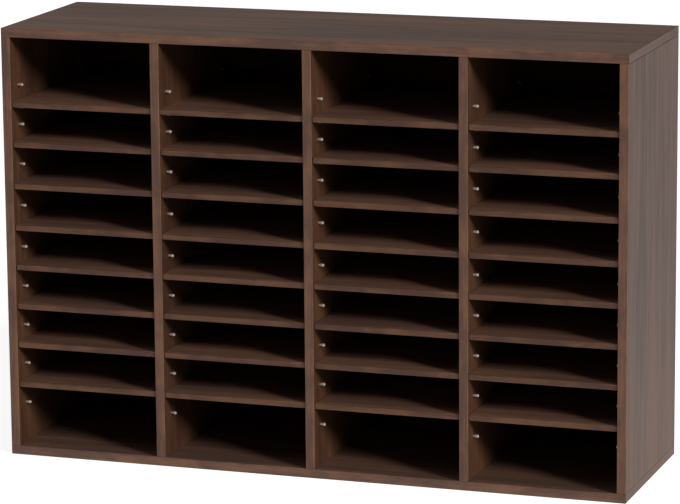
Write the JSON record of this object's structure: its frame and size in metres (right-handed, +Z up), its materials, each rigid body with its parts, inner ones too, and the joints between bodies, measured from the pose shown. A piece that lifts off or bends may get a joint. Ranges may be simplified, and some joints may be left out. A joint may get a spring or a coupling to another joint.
{
  "type": "pigeonhole mail sorter",
  "caption": "Wide open-fronted mail sorter in dark walnut laminate, with columns of flat pigeonholes between upright dividers and loose shelves that lie on metal pins and pull out.",
  "frame": {"origin": "middle of the underside of the bottom panel, on the surface that the case stands on", "axes": "+X to the right seen from the front, +Y to the rear (the open front faces -Y), +Z up"},
  "size_m": [1.0006, 0.305, 0.68],
  "materials": {
    "walnut_laminate": "satin wood-grain laminate, dark walnut",
    "shelf_laminate": "satin wood-grain laminate, dark walnut",
    "back_board": "matt wood-grain paper on thin board",
    "dowel_beech": "plain fluted beech",
    "pin_steel": "nickel-plated turned steel"
  },
  "bodies": {
    "case": {"top_panel": "walnut_laminate", "bottom_panel": "walnut_laminate", "left_side": "walnut_laminate", "divider_1": "walnut_laminate", "divider_2": "walnut_laminate", "divider_3": "walnut_laminate", "right_side": "walnut_laminate", "back_panel": "back_board", "dowel_left_side_top_front": "dowel_beech", "dowel_left_side_top_rear": "dowel_beech", "dowel_left_side_bottom_front": "dowel_beech", "dowel_left_side_bottom_rear": "dowel_beech", "dowel_divider_1_top_front": "dowel_beech", "dowel_divider_1_top_rear": "dowel_beech", "dowel_divider_1_bottom_front": "dowel_beech", "dowel_divider_1_bottom_rear": "dowel_beech", "dowel_divider_2_top_front": "dowel_beech", "dowel_divider_2_top_rear": "dowel_beech", "dowel_divider_2_bottom_front": "dowel_beech", "dowel_divider_2_bottom_rear": "dowel_beech", "dowel_divider_3_top_front": "dowel_beech", "dowel_divider_3_top_rear": "dowel_beech", "dowel_divider_3_bottom_front": "dowel_beech", "dowel_divider_3_bottom_rear": "dowel_beech", "dowel_right_side_top_front": "dowel_beech", "dowel_right_side_top_rear": "dowel_beech", "dowel_right_side_bottom_front": "dowel_beech", "dowel_right_side_bottom_rear": "dowel_beech"},
    "shelf_column_1_row_1": {"shelf_column_1_row_1": "shelf_laminate"},
    "shelf_column_1_row_2": {"shelf_column_1_row_2": "shelf_laminate"},
    "shelf_column_1_row_3": {"shelf_column_1_row_3": "shelf_laminate"},
    "shelf_column_1_row_4": {"shelf_column_1_row_4": "shelf_laminate"},
    "shelf_column_1_row_5": {"shelf_column_1_row_5": "shelf_laminate"},
    "shelf_column_1_row_6": {"shelf_column_1_row_6": "shelf_laminate"},
    "shelf_column_1_row_7": {"shelf_column_1_row_7": "shelf_laminate"},
    "shelf_column_1_row_8": {"shelf_column_1_row_8": "shelf_laminate"},
    "shelf_column_2_row_1": {"shelf_column_2_row_1": "shelf_laminate"},
    "shelf_column_2_row_2": {"shelf_column_2_row_2": "shelf_laminate"},
    "shelf_column_2_row_3": {"shelf_column_2_row_3": "shelf_laminate"},
    "shelf_column_2_row_4": {"shelf_column_2_row_4": "shelf_laminate"},
    "shelf_column_2_row_5": {"shelf_column_2_row_5": "shelf_laminate"},
    "shelf_column_2_row_6": {"shelf_column_2_row_6": "shelf_laminate"},
    "shelf_column_2_row_7": {"shelf_column_2_row_7": "shelf_laminate"},
    "shelf_column_2_row_8": {"shelf_column_2_row_8": "shelf_laminate"},
    "shelf_column_3_row_1": {"shelf_column_3_row_1": "shelf_laminate"},
    "shelf_column_3_row_2": {"shelf_column_3_row_2": "shelf_laminate"},
    "shelf_column_3_row_3": {"shelf_column_3_row_3": "shelf_laminate"},
    "shelf_column_3_row_4": {"shelf_column_3_row_4": "shelf_laminate"},
    "shelf_column_3_row_5": {"shelf_column_3_row_5": "shelf_laminate"},
    "shelf_column_3_row_6": {"shelf_column_3_row_6": "shelf_laminate"},
    "shelf_column_3_row_7": {"shelf_column_3_row_7": "shelf_laminate"},
    "shelf_column_3_row_8": {"shelf_column_3_row_8": "shelf_laminate"},
    "shelf_column_4_row_1": {"shelf_column_4_row_1": "shelf_laminate"},
    "shelf_column_4_row_2": {"shelf_column_4_row_2": "shelf_laminate"},
    "shelf_column_4_row_3": {"shelf_column_4_row_3": "shelf_laminate"},
    "shelf_column_4_row_4": {"shelf_column_4_row_4": "shelf_laminate"},
    "shelf_column_4_row_5": {"shelf_column_4_row_5": "shelf_laminate"},
    "shelf_column_4_row_6": {"shelf_column_4_row_6": "shelf_laminate"},
    "shelf_column_4_row_7": {"shelf_column_4_row_7": "shelf_laminate"},
    "shelf_column_4_row_8": {"shelf_column_4_row_8": "shelf_laminate"}
  },
  "joints": [
    {"name": "shelf_column_1_row_1_slide", "type": "slide", "parent": "case", "child": "shelf_column_1_row_1", "axis": [0, -1, 0], "range_m": [0, 0.3]},
    {"name": "shelf_column_1_row_2_slide", "type": "slide", "parent": "case", "child": "shelf_column_1_row_2", "axis": [0, -1, 0], "range_m": [0, 0.3]},
    {"name": "shelf_column_1_row_3_slide", "type": "slide", "parent": "case", "child": "shelf_column_1_row_3", "axis": [0, -1, 0], "range_m": [0, 0.3]},
    {"name": "shelf_column_1_row_4_slide", "type": "slide", "parent": "case", "child": "shelf_column_1_row_4", "axis": [0, -1, 0], "range_m": [0, 0.3]},
    {"name": "shelf_column_1_row_5_slide", "type": "slide", "parent": "case", "child": "shelf_column_1_row_5", "axis": [0, -1, 0], "range_m": [0, 0.3]},
    {"name": "shelf_column_1_row_6_slide", "type": "slide", "parent": "case", "child": "shelf_column_1_row_6", "axis": [0, -1, 0], "range_m": [0, 0.3]},
    {"name": "shelf_column_1_row_7_slide", "type": "slide", "parent": "case", "child": "shelf_column_1_row_7", "axis": [0, -1, 0], "range_m": [0, 0.3]},
    {"name": "shelf_column_1_row_8_slide", "type": "slide", "parent": "case", "child": "shelf_column_1_row_8", "axis": [0, -1, 0], "range_m": [0, 0.3]},
    {"name": "shelf_column_2_row_1_slide", "type": "slide", "parent": "case", "child": "shelf_column_2_row_1", "axis": [0, -1, 0], "range_m": [0, 0.3]},
    {"name": "shelf_column_2_row_2_slide", "type": "slide", "parent": "case", "child": "shelf_column_2_row_2", "axis": [0, -1, 0], "range_m": [0, 0.3]},
    {"name": "shelf_column_2_row_3_slide", "type": "slide", "parent": "case", "child": "shelf_column_2_row_3", "axis": [0, -1, 0], "range_m": [0, 0.3]},
    {"name": "shelf_column_2_row_4_slide", "type": "slide", "parent": "case", "child": "shelf_column_2_row_4", "axis": [0, -1, 0], "range_m": [0, 0.3]},
    {"name": "shelf_column_2_row_5_slide", "type": "slide", "parent": "case", "child": "shelf_column_2_row_5", "axis": [0, -1, 0], "range_m": [0, 0.3]},
    {"name": "shelf_column_2_row_6_slide", "type": "slide", "parent": "case", "child": "shelf_column_2_row_6", "axis": [0, -1, 0], "range_m": [0, 0.3]},
    {"name": "shelf_column_2_row_7_slide", "type": "slide", "parent": "case", "child": "shelf_column_2_row_7", "axis": [0, -1, 0], "range_m": [0, 0.3]},
    {"name": "shelf_column_2_row_8_slide", "type": "slide", "parent": "case", "child": "shelf_column_2_row_8", "axis": [0, -1, 0], "range_m": [0, 0.3]},
    {"name": "shelf_column_3_row_1_slide", "type": "slide", "parent": "case", "child": "shelf_column_3_row_1", "axis": [0, -1, 0], "range_m": [0, 0.3]},
    {"name": "shelf_column_3_row_2_slide", "type": "slide", "parent": "case", "child": "shelf_column_3_row_2", "axis": [0, -1, 0], "range_m": [0, 0.3]},
    {"name": "shelf_column_3_row_3_slide", "type": "slide", "parent": "case", "child": "shelf_column_3_row_3", "axis": [0, -1, 0], "range_m": [0, 0.3]},
    {"name": "shelf_column_3_row_4_slide", "type": "slide", "parent": "case", "child": "shelf_column_3_row_4", "axis": [0, -1, 0], "range_m": [0, 0.3]},
    {"name": "shelf_column_3_row_5_slide", "type": "slide", "parent": "case", "child": "shelf_column_3_row_5", "axis": [0, -1, 0], "range_m": [0, 0.3]},
    {"name": "shelf_column_3_row_6_slide", "type": "slide", "parent": "case", "child": "shelf_column_3_row_6", "axis": [0, -1, 0], "range_m": [0, 0.3]},
    {"name": "shelf_column_3_row_7_slide", "type": "slide", "parent": "case", "child": "shelf_column_3_row_7", "axis": [0, -1, 0], "range_m": [0, 0.3]},
    {"name": "shelf_column_3_row_8_slide", "type": "slide", "parent": "case", "child": "shelf_column_3_row_8", "axis": [0, -1, 0], "range_m": [0, 0.3]},
    {"name": "shelf_column_4_row_1_slide", "type": "slide", "parent": "case", "child": "shelf_column_4_row_1", "axis": [0, -1, 0], "range_m": [0, 0.3]},
    {"name": "shelf_column_4_row_2_slide", "type": "slide", "parent": "case", "child": "shelf_column_4_row_2", "axis": [0, -1, 0], "range_m": [0, 0.3]},
    {"name": "shelf_column_4_row_3_slide", "type": "slide", "parent": "case", "child": "shelf_column_4_row_3", "axis": [0, -1, 0], "range_m": [0, 0.3]},
    {"name": "shelf_column_4_row_4_slide", "type": "slide", "parent": "case", "child": "shelf_column_4_row_4", "axis": [0, -1, 0], "range_m": [0, 0.3]},
    {"name": "shelf_column_4_row_5_slide", "type": "slide", "parent": "case", "child": "shelf_column_4_row_5", "axis": [0, -1, 0], "range_m": [0, 0.3]},
    {"name": "shelf_column_4_row_6_slide", "type": "slide", "parent": "case", "child": "shelf_column_4_row_6", "axis": [0, -1, 0], "range_m": [0, 0.3]},
    {"name": "shelf_column_4_row_7_slide", "type": "slide", "parent": "case", "child": "shelf_column_4_row_7", "axis": [0, -1, 0], "range_m": [0, 0.3]},
    {"name": "shelf_column_4_row_8_slide", "type": "slide", "parent": "case", "child": "shelf_column_4_row_8", "axis": [0, -1, 0], "range_m": [0, 0.3]}
  ]
}
